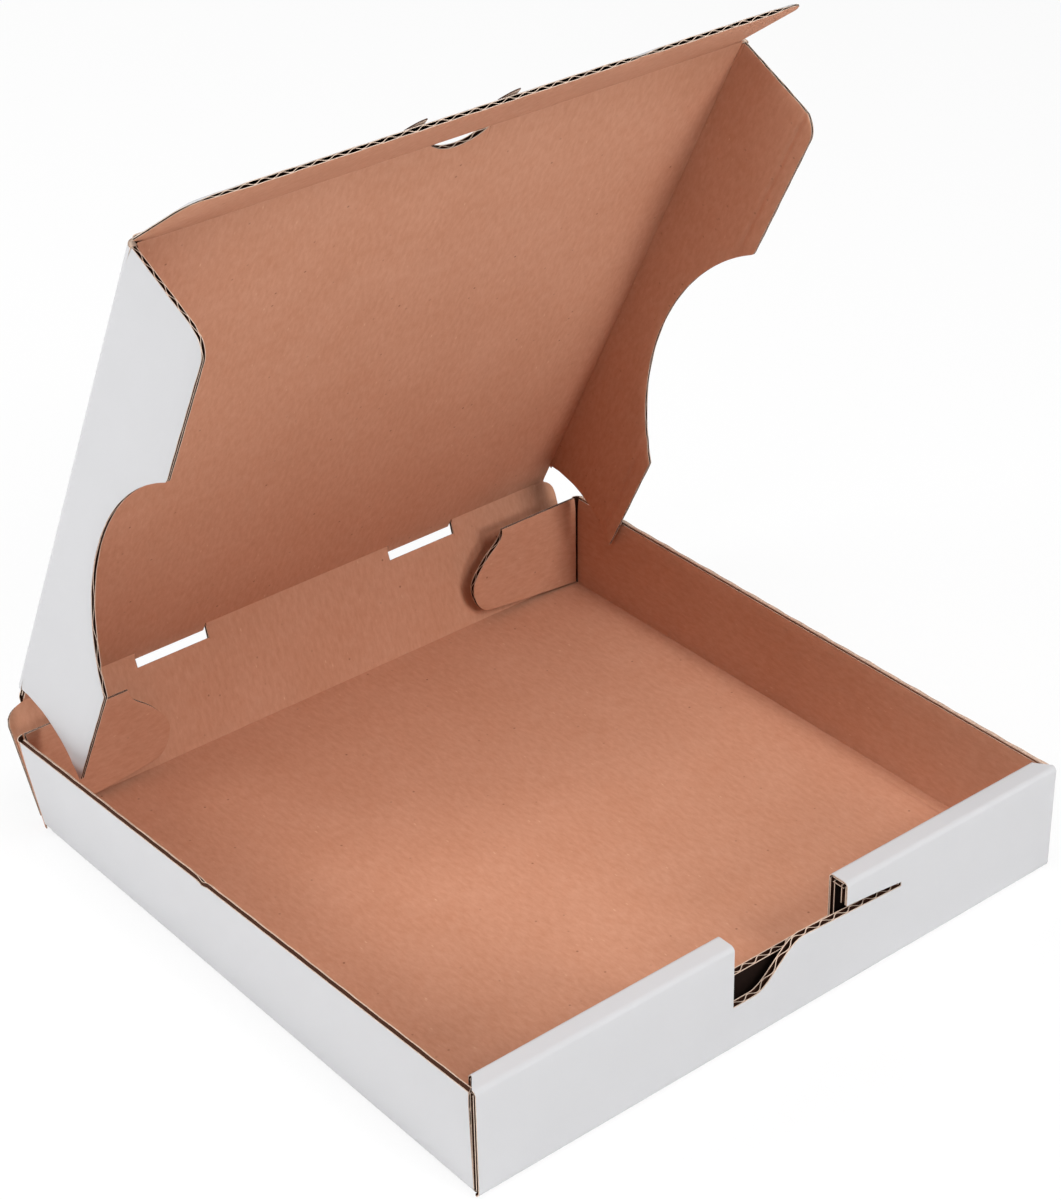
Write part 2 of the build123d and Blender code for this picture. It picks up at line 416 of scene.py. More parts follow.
@dataclass(frozen=True)
class Board:
    """Single-wall corrugated board: two liners with a wavy medium between them, sizes in millimetres."""

    thickness: float = 2.8
    liner: float = 0.38
    medium: float = 0.38
    pitch: float = FLUTE_MM
    crush_reach: float = 2.6
    crush_waver: float = 0.18
    crush_most: float = 0.92
    step: float = 0.002
    bend_points: int = 17
    gusset_under: float = 0.02
    gusset_sheet: float = 0.2

    def crushed(self, distance: Grid, along: Grid, crush: float) -> Grid:
        """Give the share of thickness lost to the cutting die: most at the edge, fading inwards, wavering along."""
        most = crush * (1 + self.crush_waver * waver(along))
        return np.clip(most * np.exp(-np.maximum(distance, 0) / self.crush_reach), 0, self.crush_most)

    def press(self, place: Place, lost: Across) -> Place:
        """Give a place function with both faces drawn to the board's middle by the share of thickness lost."""
        half = self.thickness / 2
        return lambda a, b, t: place(a, b, half + (t - half) * (1 - lost(a, b)))

    def wave(self, across: Grid) -> Grid:
        """Give the medium's middle depth: half the board plus a sine of the place across the flutes."""
        height = self.thickness / 2 - self.liner - self.medium / 2
        return self.thickness / 2 + height * np.sin(2 * np.pi * across / self.pitch)

    def steps(self, start: float, stop: float, breaks: Sequence[float] = (), per_flute: int = 10) -> Grid:
        """Give places across the flutes, fine enough for the wave, with a close pair at every step of the outline.

        Args:
            start: First place.
            stop: Last place.
            breaks: Places where the outline steps.
            per_flute: Places for each flute.

        Returns:
            The rising places.
        """
        count = max(2, math.ceil((stop - start) / self.pitch * per_flute) + 1)
        pairs = [(b - self.step, b + self.step) for b in breaks]
        return np.unique(np.concatenate([np.linspace(start, stop, count), *pairs]))

    def panel(self, outline: Outline, place: Place, liner: tuple[Grid, Grid], medium: tuple[Grid, Grid],
              across: Across, inside: Skin = Skin.KRAFT, hollow: Skin = Skin.MEDIUM) -> list[Patch]:
        """Build one flat panel of board.

        Depth runs from zero on the inner, brown face to the board's thickness on the white face.

        Args:
            outline: Flat place of each column and row.
            place: Point in space of a flat place and a depth.
            liner: Columns and rows of the two liners.
            medium: Columns and rows of the medium, fine across the flutes.
            across: Place across the flutes of each flat place.
            inside: Paper of the inner face.
            hollow: Paper of the faces inside the board; by default the medium, whose dark brown is partly painted shade
                for the flute tunnels.

        Returns:
            Inner liner, medium and outer liner.
        """
        full, skin, half = self.thickness, self.liner, self.medium / 2
        return [
            plate(outline, place, *liner, (0.0, skin), (inside, hollow, Skin.EDGE), across),
            plate(outline, place, *medium,
                  (lambda a, b: self.wave(across(a, b)) - half, lambda a, b: self.wave(across(a, b)) + half),
                  (hollow, hollow, Skin.EDGE), across),
            plate(outline, place, *liner, (full - skin, full), (hollow, Skin.WHITE, Skin.EDGE), across),
        ]

    def bend(self, axis: Along, start: tuple[Along, Along], stop: tuple[Along, Along], along: Grid,
             reach: float, radius: float | None = None, depth: float | None = None, skin: Skin = Skin.WHITE) -> Patch:
        """Build the outer liner round a fold.

        The liner runs along the first panel's outer face, round the fold on a circle about the axis, and on along the
        second panel's outer face.

        Args:
            axis: Points of the fold line at the given places along it.
            start: Outer normal of the first panel and its direction away from the fold, at places along it.
            stop: The same for the second panel.
            along: Places along the fold.
            reach: Length laid on each panel.
            radius: Radius of the outer face, the board's thickness if left out.
            depth: Thickness of the bent sheet, one liner if left out.
            skin: Paper of the outer face.

        Returns:
            The bent liner.
        """
        outer = self.thickness if radius is None else radius
        turn = 0.2

        def place(c: Grid, r: Grid, depth: Grid) -> Grid:
            """Give points of the bend: along a face, on the circle, or along the other face."""
            share = np.clip((c - turn) / (1 - 2 * turn), 0, 1)[..., None]
            first, second = (np.broadcast_to(n(r), (*r.shape, 3)) for n in (start[0], stop[0]))
            away, onward = (np.broadcast_to(n(r), (*r.shape, 3)) for n in (start[1], stop[1]))
            angle = np.arccos(np.clip((first * second).sum(-1, keepdims=True), -1, 1))
            sine = np.maximum(np.sin(angle), 1e-9)
            normal = (np.sin((1 - share) * angle) * first + np.sin(share * angle) * second) / sine
            before = reach * np.clip(1 - c / turn, 0, 1)[..., None] * away
            after = reach * np.clip((c - 1 + turn) / turn, 0, 1)[..., None] * onward
            return axis(r) + depth[..., None] * normal + before + after

        columns = np.linspace(turn, 1 - turn, self.bend_points)
        if reach:
            columns = np.concatenate([[0.0], columns, [1.0]])
        inner = outer - (self.liner if depth is None else depth)
        return plate(as_given, place, columns, along, (inner, outer), (Skin.MEDIUM, skin, Skin.EDGE))

    def gusset(self, axis: Along, first: tuple[Grid, Grid], second: tuple[Grid, Grid], along: Grid,
               reach: float) -> Patch:
        """Build the brown liner inside a fold, a thin strip that closes the crease between two inner faces.

        The strip's edges lie just under the two faces, and its middle just under the fold line.

        Args:
            axis: Points of the fold line at the given places along it.
            first: Outer normal of the first panel and its direction away from the fold.
            second: The same for the second panel.
            along: Places along the fold.
            reach: Length laid on each panel.

        Returns:
            The strip.
        """
        outward = np.stack([first[0], first[0] + second[0], second[0]])
        outward = outward / np.linalg.norm(outward, axis=-1, keepdims=True)
        spread = np.stack([reach * np.array(first[1]), np.zeros(3), reach * np.array(second[1])])

        def place(c: Grid, r: Grid, depth: Grid) -> Grid:
            """Give points beside or under the fold line."""
            which = c.astype(int)
            return axis(r) + spread[which] + (self.gusset_under + depth[..., None]) * outward[which]

        return plate(as_given, place, np.arange(3.0), along, (0.0, self.gusset_sheet),
                     (Skin.KRAFT, Skin.MEDIUM, Skin.KRAFT))


def fixed(*vector: float) -> Along:
    """Give a function that returns one unchanging vector for every place along a fold."""
    return lambda along: np.array(vector, float)


def rising(angle: float) -> Grid:
    """Give the direction up a panel that rises at an angle above the level, leaning to the front."""
    return np.array([0.0, -math.cos(math.radians(angle)), math.sin(math.radians(angle))])


def inward(angle: float) -> Grid:
    """Give the inner normal of a panel that rises at an angle above the level."""
    return np.array([0.0, -math.sin(math.radians(angle)), -math.cos(math.radians(angle))])


def line(origin: Grid, direction: Grid) -> Along:
    """Give the points of a straight fold from the place along it."""
    return lambda along: origin + along[..., None] * direction


def over_first(shift: float = 0.0) -> Across:
    """Let the flutes be crossed along the first flat coordinate, shifted by a phase."""
    return lambda a, b: a + shift


def over_second(shift: float) -> Across:
    """Let the flutes be crossed along the second flat coordinate, shifted by a phase."""
    return lambda a, b: b + shift


def round_off(over: Grid, radius: float) -> Grid:
    """Give how far a rounded corner draws an edge in, from the distance run into the corner: a quarter circle."""
    return radius - np.sqrt(np.maximum(radius ** 2 - np.clip(over, 0, radius) ** 2, 0))


def arc_cut(offset: Grid, chord: float, depth: float) -> Grid:
    """Give the depth of a cut at an offset from its middle: a circle's arc over a chord."""
    radius = ((chord / 2) ** 2 + depth ** 2) / (2 * depth)
    return np.maximum(np.sqrt(np.maximum(radius ** 2 - offset ** 2, 0)) - (radius - depth), 0)


def flat_place(origin: Grid, first: Grid, second: Grid, outer: Grid) -> Place:
    """Give the points of a flat panel: origin, two directions in the sheet, and depth along its outer normal."""
    return lambda a, b, t: origin + a[..., None] * first + b[..., None] * second + t[..., None] * outer


def edge_at(edge: Edge, columns: Grid) -> Grid:
    """Give an edge's place at every column."""
    return edge(columns) if callable(edge) else np.full_like(columns, edge)


def strip(low: Edge, high: Edge) -> Outline:
    """Give the outline whose rows run from a lower to an upper edge, each a number or a function of the column.

    Args:
        low: Lower edge.
        high: Upper edge.

    Returns:
        Flat places for columns in millimetres and rows from zero to one.
    """
    def outline(c: Grid, r: Grid) -> tuple[Grid, Grid]:
        """Blend the two edges by the row."""
        below, above = edge_at(low, c), edge_at(high, c)
        return c, below + r * (above - below)
    return outline


@dataclass(frozen=True)
class Sizes:
    """Driving sizes of the box in millimetres and degrees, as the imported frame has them."""

    board: float = 2.8
    gap: float = 0.15
    width: float = 250.0
    depth: float = 252.0
    wall: float = 42.0
    left_lean_front: float = 1.3
    left_lean_rear: float = 9.0
    right_lean: float = 0.5
    rear_width: float = 247.0
    rear_height: float = 43.0
    rear_lean: float = 17.6
    lid_angle: float = 63.0
    lid_half: float = 118.7
    lid_length: float = 238.45
    front_fold: float = 28.5
    vent_width: float = 31.0
    vent_middle: float = 57.0
    vent_depth: float = 5.5
    vent_tab: float = 4.4
    layer: float = 0.3
    crease_bevel: float = 27.0
    bevel_fade: float = 12.0

    @property
    def front_crease(self) -> float:
        """Depth place of the front bottom crease."""
        return -self.depth / 2 + self.board

    @property
    def rear_crease(self) -> float:
        """Depth place of the rear bottom crease."""
        return self.depth / 2 - self.board

    @property
    def side_crease(self) -> float:
        """Half the width between the side bottom creases."""
        return self.width / 2 - self.board

    @property
    def corner_y(self) -> float:
        """Depth place of the corner flaps' inner face."""
        return self.rear_crease - self.layer - self.board

    @property
    def rise(self) -> float:
        """Height of a side wall above the floor's upper face."""
        return self.wall - self.board

    @property
    def rear_slope(self) -> float:
        """Angle of the rear wall above the level, on the same count as the lid's."""
        return 90 + self.rear_lean

    @property
    def rear_foot(self) -> Grid:
        """Middle of the rear wall's bottom crease."""
        return np.array([0.0, self.rear_crease, self.board])

    @property
    def hinge(self) -> Grid:
        """Middle of the hinge crease."""
        return self.rear_foot + self.rear_height * rising(self.rear_slope)

    @property
    def lid_front(self) -> Grid:
        """Middle of the lid's front crease."""
        return self.hinge + self.lid_length * rising(self.lid_angle)

    def vent_edges(self, ease: float = 0.0) -> list[float]:
        """Give the four places across the box where the vents start and stop, each vent narrowed by an ease."""
        near, far = self.vent_middle - self.vent_width / 2 + ease, self.vent_middle + self.vent_width / 2 - ease
        return [-far, -near, near, far]

    def corner_foot(self, side: int) -> Grid:
        """Give the foot of a corner flap's fold."""
        return np.array([side * self.side_crease, self.corner_y, self.board])

    def bevel(self, depth: Grid, distance: Grid) -> Grid:
        """Give how far a panel is drawn back from the hinge: more with the depth, less with the distance."""
        return depth * math.tan(math.radians(self.crease_bevel)) * np.clip(1 - distance / self.bevel_fade, 0, 1)

    def in_vent(self, x: Grid, ease: float = 0.0) -> Grid:
        """Tell which places across the box lie in a vent, each vent narrowed by an ease."""
        return np.abs(np.abs(x) - self.vent_middle) < self.vent_width / 2 - ease

    def wall_up(self, side: int, y: Grid) -> Grid:
        """Give a side wall's upward direction at places along it."""
        lean = self.lean(side, y)
        return np.stack([side * np.sin(lean), 0 * lean, np.cos(lean)], -1)

    def wall_out(self, side: int, y: Grid) -> Grid:
        """Give a side wall's outer normal at places along it."""
        lean = self.lean(side, y)
        return np.stack([side * np.cos(lean), 0 * lean, -np.sin(lean)], -1)

    def lean(self, side: int, y: Grid) -> Grid:
        """Give a side wall's outward lean at a place along it, in radians.

        Args:
            side: Minus one for the left wall, one for the right.
            y: Places from front to rear.

        Returns:
            Lean at each place.
        """
        share = (y - self.front_crease) / (self.corner_y - self.front_crease)
        front, rear = (self.left_lean_front, self.left_lean_rear) if side < 0 else (self.right_lean, self.right_lean)
        return np.radians(front + share * (rear - front))


@dataclass
class Piece:
    """One visual object under way: its patches, and the mesh made of them."""

    name: str
    papers: Papers
    patches: list[Patch] = field(default_factory=list)

    def add(self, *patches: Patch) -> None:
        """Take more patches in."""
        self.patches.extend(patches)

    def build(self) -> bpy.types.Object:
        """Join the patches into one object at the origin, with its papers, blank coordinates and outward faces.

        Returns:
            The new object.
        """
        starts = np.cumsum([0] + [len(p.points) for p in self.patches[:-1]])
        points = np.concatenate([p.points for p in self.patches]) * MM
        faces = np.concatenate([p.faces + start for p, start in zip(self.patches, starts)])
        blank = np.concatenate([p.blank for p in self.patches]) * MM
        mesh = bpy.data.meshes.new(self.name)
        mesh.from_pydata(points.tolist(), [], faces.tolist())
        mesh.polygons.foreach_set("material_index", np.concatenate([p.skins for p in self.patches]).astype(np.int32))
        mesh.polygons.foreach_set("use_smooth", np.ones(len(faces), bool))
        layer = mesh.uv_layers.new(name=BLANK)
        layer.data.foreach_set("uv", blank[faces.reshape(-1)].astype(np.float32).reshape(-1))
        shell = bmesh.new()
        shell.from_mesh(mesh)
        bmesh.ops.recalc_face_normals(shell, faces=shell.faces)
        shell.to_mesh(mesh)
        shell.free()
        mesh.set_sharp_from_angle(angle=math.radians(SHARP_DEG))
        for material in self.papers.slots:
            mesh.materials.append(material)
        thing = bpy.data.objects.new(self.name, mesh)
        bpy.context.scene.collection.objects.link(thing)
        LOG.info("%s: %d faces", self.name, len(faces))
        return thing

    def stand_in(self, node: str) -> bpy.types.Object:
        """Build the piece and put it in place of a CAD node, on the body of the same name.

        Args:
            node: Name of the node and its body.

        Returns:
            The new object.
        """
        thing = self.build()
        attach(thing, node)
        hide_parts(node)
        return thing


@dataclass
class Panel:
    """What every sub-assembly of board is built from."""

    sizes: Sizes
    board: Board
    papers: Papers


@dataclass
class Tray(Panel):
    """Floor, side walls, and the rolled front wall with its finger notch."""

    notch: Span = (-22.5, 26.5)
    slot_length: float = 25.0
    slot_height: float = 3.0
    slot_taper: float = 0.45
    slot_curve: float = 1.5
    lip_low: float = 17.8
    lip_high: float = 31.2
    lip_inset: float = 9.0
    lip_width: float = 21.0
    slot_drop: float = 2.4
    inner_lip: float = 24.7
    roll_inset: float = 3.8
    bend_radius: float = 1.8
    roll_taper: float = 6.0
    tuck_length: float = 58.0
    tuck_gap: float = 0.3
    tuck_drop: float = 4.0
    top_crush: Span = (0.4, 0.68)
    top_ragged: float = 0.12
    torn_drop: float = 0.12
    nick_at: float = 11.0
    nick_depth: float = 0.9
    nick_width: float = 1.6
    second_crease: float = 4.2
    second_crease_depth: float = 0.3
    second_crease_width: float = 0.7
    second_crease_end: float = -20.0
    second_crease_fade: float = 60.0
    second_crease_band: Span = (7.0, 1.5)
    floor_gap: float = 0.6
    side_phase: float = 2.4

    def build(self) -> bpy.types.Object:
        """Build the tray's board and put it in place of the tray.

        Returns:
            The tray object.
        """
        piece = Piece("tray_board", self.papers)
        self.add_floor(piece)
        self.add_side(piece, -1)
        self.add_side(piece, 1)
        self.add_front(piece)
        return piece.stand_in("tray")

    def add_floor(self, piece: Piece) -> None:
        """Add the floor, flat but for a faint second crease beside the right wall.

        Args:
            piece: Piece that takes the patches.
        """
        s = self.sizes
        columns = self.board.steps(-s.side_crease, s.side_crease)
        flat = flat_place(s.board * UP, ACROSS, REAR, -UP)

        def place(a: Grid, b: Grid, t: Grid) -> Grid:
            """Give points of the floor, its upper face sunk along a second crease that fades out to the rear."""
            off = (a - s.side_crease + self.second_crease) / self.second_crease_width
            fade = np.clip((self.second_crease_end - b) / self.second_crease_fade, 0, 1)
            groove = self.second_crease_depth * np.exp(-off ** 2) * fade
            return flat(a, b, t + groove * (1 - t / s.board))

        wide = np.linspace(-s.side_crease, s.side_crease, 25)
        far, near = (s.side_crease - reach for reach in self.second_crease_band)
        piece.add(*self.board.panel(strip(s.front_crease, s.rear_crease - s.gap), place,
                                    (np.union1d(wide, np.linspace(far, near, 16)), np.linspace(0, 1, 25)),
                                    (columns, ENDS), over_first()))

    def add_side(self, piece: Piece, side: int) -> None:
        """Add a side wall, its bottom bend and the tuck flap inside the front wall.

        The wall is a ruled surface: its foot is straight and its lean grows evenly along it. Its cut top edge is
        pressed and a little ragged. The left one has a nick, and torn paper closes the right one.

        Args:
            piece: Piece that takes the patches.
            side: Minus one for the left, one for the right.
        """
        s = self.sizes
        up, out = partial(s.wall_up, side), partial(s.wall_out, side)
        axis = line(np.array([side * s.side_crease, 0.0, s.board]), REAR)

        def place(a: Grid, b: Grid, t: Grid) -> Grid:
            """Give points from the place along the wall, the height up the slope and the depth."""
            return axis(a) + b[..., None] * up(a) + t[..., None] * out(a)

        def top(a: Grid) -> Grid:
            """Give the wall's top edge along it."""
            nick = self.nick_depth * np.exp(-((a - self.nick_at) / self.nick_width) ** 2) if side < 0 else 0.0
            return s.rise - self.top_ragged * (1 + waver(a)) - nick

        crush = self.top_crush[side > 0]
        pressed = self.board.press(place, lambda a, b: self.board.crushed(top(a) - b, a, crush))
        along = np.linspace(s.front_crease, s.corner_y - s.gap, 160)
        rows = self.board.steps(0.0, s.rise) / s.rise
        piece.add(*self.board.panel(strip(0.0, top), pressed, (along, rows[::3]), (along[::2], rows),
                                    over_second(self.side_phase), hollow=Skin.KRAFT if side > 0 else Skin.MEDIUM))
        if side > 0:
            def torn(a: Grid, b: Grid, t: Grid) -> Grid:
                """Give points of the torn paper that closes the pressed edge, across the board's thickness."""
                return pressed(a, top(a) - self.torn_drop - t, b * s.board)

            piece.add(plate(as_given, torn, along, ROWS[::4], (0.0, self.board.liner), (Skin.EDGE,) * 3))
        piece.add(self.board.bend(axis, (fixed(0, 0, -1), fixed(-side, 0, 0)), (out, up), along[::4], 0.0))
        tuck = flat_place(np.array([side * s.side_crease, s.front_crease + s.board, s.board + self.floor_gap]),
                          UP, -side * ACROSS, -REAR)
        heights = self.board.steps(0.0, s.rise - self.tuck_drop)
        piece.add(*self.board.panel(strip(self.tuck_gap, self.tuck_length), tuck, (heights[[0, -1]], ENDS),
                                    (heights, ENDS), over_first()))

    def lip(self, x: Grid) -> Grid:
        """Give the outer ply's cut edge: low on the left, an S up to the slot, and a slow fall along the slot.

        Args:
            x: Places across the box.

        Returns:
            Height of the edge above the table.
        """
        start = self.notch[0] + self.lip_inset
        share = np.clip((x - start) / self.lip_width, 0, 1)
        smooth = share * share * (3 - 2 * share)
        top = start + self.lip_width
        late = np.clip((x - top) / (self.notch[1] + self.slot_length - top), 0, 1)
        return self.lip_low + smooth * (self.lip_high - self.lip_low) - self.slot_drop * late

    def profile(self) -> tuple[Grid, Grid, int, int]:
        """Give the outer face of the rolled wall from its foot to the inner ply's lower edge.

        The path is a quarter circle at the foot, the front, a quarter circle to the top strip, the strip, another
        quarter circle, and the inner ply down to just above the floor.

        Returns:
            Places front to rear and up, outward normals, and the numbers of the front's lowest and highest row.
        """
        s, radius = self.sizes, self.bend_radius
        front, back = -s.depth / 2, s.front_crease + 2 * s.board
        shoulder = s.wall - radius
        turn = np.radians(np.linspace(0, 90, 13))
        foot = np.stack([-np.sin(turn), -np.cos(turn)], -1)
        top = np.stack([-np.cos(turn), np.sin(turn)], -1)
        over = np.stack([np.sin(turn), np.cos(turn)], -1)
        places = np.concatenate([
            np.array([s.front_crease, s.board]) + s.board * foot, np.array([front + radius, shoulder]) + radius * top,
            np.array([back - radius, shoulder]) + radius * over, [[back, s.board + self.floor_gap]]])
        normals = np.concatenate([foot, top, over, [[1.0, 0.0]]])
        return places, normals, len(turn) - 1, len(turn)

    def add_front(self, piece: Piece) -> None:
        """Add the rolled front wall: outer ply, top strip and inner ply with the notch through all three.

        Args:
            piece: Piece that takes the patches.
        """
        s, half, board = self.sizes, self.sizes.width / 2, self.board
        front, crease, radius = -s.depth / 2, s.front_crease, self.bend_radius
        back = crease + 2 * s.board
        shoulder, slot_end = s.wall - radius, self.notch[1] + self.slot_length
        outer_place = flat_place(crease * REAR, ACROSS, UP, -REAR)
        inner_place = flat_place((crease + s.board) * REAR, ACROSS, UP, REAR)
        top_place = flat_place(s.rise * UP, ACROSS, REAR, UP)
        places, normals, low_row, high_row = self.profile()
        foot = s.board + self.floor_gap

        def roof(x: Grid) -> Grid:
            """Give the slot's upper edge, which comes down to the lip along the slot."""
            share = np.clip((x - self.notch[1]) / self.slot_length, 0, 1)
            return self.lip(x) + self.slot_height * (1 - self.slot_taper * share ** self.slot_curve)

        def drawn_in(x: Grid, y: Grid) -> Grid:
            """Draw the ends of the top strip in, from nothing at the front to the inner ply's inset at the back."""
            share = np.clip((y - front - radius) / (back - front - 2 * radius), 0, 1)
            near_end = np.clip((np.abs(x) - half + self.roll_taper) / self.roll_taper, 0, 1)
            return x - np.sign(x) * near_end * share * self.roll_inset

        def skin(start: float, stop: float, rows: Grid, low: Edge, high: Edge) -> Patch:
            """Lay the white liner over part of the roll, between two edges on the front."""
            def place(a: Grid, b: Grid, t: Grid) -> Grid:
                """Give points of the roll's outer face, moved in by the depth."""
                row = b.astype(int)
                height = np.where(row == high_row, edge_at(high, a), places[row, 1])
                height = np.where(row == low_row, edge_at(low, a), height)
                return np.stack([drawn_in(a, places[row, 0]), places[row, 0] - t * normals[row, 0],
                                 height - t * normals[row, 1]], -1)
            return plate(as_given, place, board.steps(start, stop, per_flute=4), rows, (0.0, board.liner),
                         (Skin.WHITE, Skin.MEDIUM, Skin.EDGE))

        def ply(start: float, stop: float, outline: Outline, place: Place, inside: Skin = Skin.PAINTED_SHADE) -> list[Patch]:
            """Build a stretch of the roll's board with the flutes upright, its inner face in near-black painted shade
            unless another paper is given.
            """
            grid = (board.steps(start, stop), ENDS)
            return board.panel(outline, place, grid, grid, over_first(), inside)

        every = np.arange(float(len(places)))
        stretches = ((-half, self.notch[0], every, s.board, shoulder),
                     (self.notch[0], slot_end, every[:high_row + 1], s.board, self.lip),
                     (self.notch[1], slot_end, every[low_row:], roof, shoulder),
                     (slot_end, half, every, s.board, shoulder))
        piece.add(*[skin(*part) for part in stretches])
        for start, stop, _, low, high in stretches:
            piece.add(*ply(start, stop, strip(low, high), outer_place)[:2])
        end = half - self.roll_inset
        # the inner ply's front face, also where the notch shows it, gets the near-black painted shade
        for start, stop, high in ((-end, self.notch[0], shoulder), (*self.notch, self.inner_lip),
                                  (self.notch[1], end, shoulder)):
            piece.add(*ply(start, stop, strip(foot, high), inner_place)[:2])
        piece.add(ply(*self.notch, strip(foot, self.inner_lip), inner_place, Skin.KRAFT)[2])
        for start, stop in ((-half, self.notch[0]), (self.notch[1], half)):
            piece.add(*ply(start, stop, strip(front + radius, back - radius),
                           lambda a, b, t: top_place(drawn_in(a, b), b, t))[:2])


@dataclass
class RearWall(Panel):
    """Rear wall with rounded top corners and two vent cuts."""

    corner: float = 7.0
    crush: float = 0.5
    left_reach: float = 3.0
    phase: float = 1.9

    def top(self, x: Grid) -> Grid:
        """Give the top edge: the hinge crease, lower at the vents, rounded at both ends.

        Args:
            x: Places across the box.

        Returns:
            Height up the wall.
        """
        s = self.sizes
        ends = round_off(np.abs(x) - (s.rear_width / 2 - self.corner), self.corner)
        return s.rear_height - s.gap - ends - np.where(s.in_vent(x), s.vent_depth, 0.0)

    def build(self) -> bpy.types.Object:
        """Build the rear wall's board and put it in place of the rear wall.

        Returns:
            The rear wall object.
        """
        s, half = self.sizes, self.sizes.rear_width / 2
        piece = Piece("rear_wall_board", self.papers)
        ends = np.linspace(half - self.corner, half, 12)
        columns = np.unique(np.concatenate([self.board.steps(-half, half, s.vent_edges()), ends, -ends]))
        flat = flat_place(s.rear_foot, ACROSS, rising(s.rear_slope), -inward(s.rear_slope))

        def place(a: Grid, b: Grid, t: Grid) -> Grid:
            """Give points of the wall, its outer face drawn back at the hinge, its left end drawn out to the top."""
            back = s.bevel(t, s.rear_height - b)
            end = np.clip(1 - (half + a) / s.bevel_fade, 0, 1)
            return flat(a - self.left_reach * end * b / s.rear_height, b - back, t)

        def lost(a: Grid, b: Grid) -> Grid:
            """Give the share of thickness lost round the vents and along both ends."""
            beside = np.maximum(np.abs(np.abs(a) - s.vent_middle) - s.vent_width / 2, 0)
            below = np.maximum(s.rear_height - s.vent_depth - b, 0)
            return self.board.crushed(np.minimum(np.hypot(beside, below), half - np.abs(a)), a + b, self.crush)

        rows = np.array([0.0, 0.4, 0.65, 0.75, 0.81, 0.86, 0.9, 0.94, 0.97, 1.0])
        piece.add(*self.board.panel(strip(s.gap, self.top), self.board.press(place, lost), (columns, rows),
                                    (columns, rows), over_first(self.phase)))
        return piece.stand_in("rear_wall")


@dataclass
class Lid(Panel):
    """Lid panel with the half-moon hole in its front edge and the vents' boards past the hinge."""

    moon_chord: float = 24.0
    moon_depth: float = 5.2
    moon_crush: float = 0.3
    tab_ease: float = 0.3

    def low(self, x: Grid) -> Grid:
        """Give the hinge edge up the lid, with the vents' boards reaching past it."""
        return np.where(self.sizes.in_vent(x, self.tab_ease), -self.sizes.vent_tab, self.sizes.gap)

    def high(self, x: Grid) -> Grid:
        """Give the front edge up the lid, with the half-moon's arc cut into it."""
        return self.sizes.lid_length - self.sizes.gap - arc_cut(x, self.moon_chord, self.moon_depth)

    def build(self) -> bpy.types.Object:
        """Build the lid's board and put it in place of the lid.

        Returns:
            The lid object.
        """
        s, half = self.sizes, self.sizes.lid_half - self.sizes.gap
        flat = flat_place(s.hinge, ACROSS, rising(s.lid_angle), -inward(s.lid_angle))

        def place(a: Grid, b: Grid, t: Grid) -> Grid:
            """Give points of the lid, its outer face drawn back from the hinge so it can lie open."""
            return flat(a, b + np.where(s.in_vent(a), 0.0, s.bevel(t, b)), t)

        def lost(a: Grid, b: Grid) -> Grid:
            """Give the share of thickness lost round the half-moon's cut."""
            pressed = self.board.crushed(self.high(a) - b, a, self.moon_crush)
            return np.where(np.abs(a) < self.moon_chord / 2, pressed, 0.0)

        piece = Piece("lid_board", self.papers)
        moon = np.linspace(-self.moon_chord / 2, self.moon_chord / 2, 41)
        columns = np.unique(np.concatenate([self.board.steps(-half, half, s.vent_edges(self.tab_ease)), moon]))
        rows = np.concatenate([[0.0, 0.02, 0.05], np.linspace(0.1, 0.9, 9), [0.96, 0.975, 0.984, 0.99, 0.995, 1.0]])
        piece.add(*self.board.panel(strip(self.low, self.high), self.board.press(place, lost), (columns, rows),
                                    (columns, rows), over_first()))
        return piece.stand_in("lid")


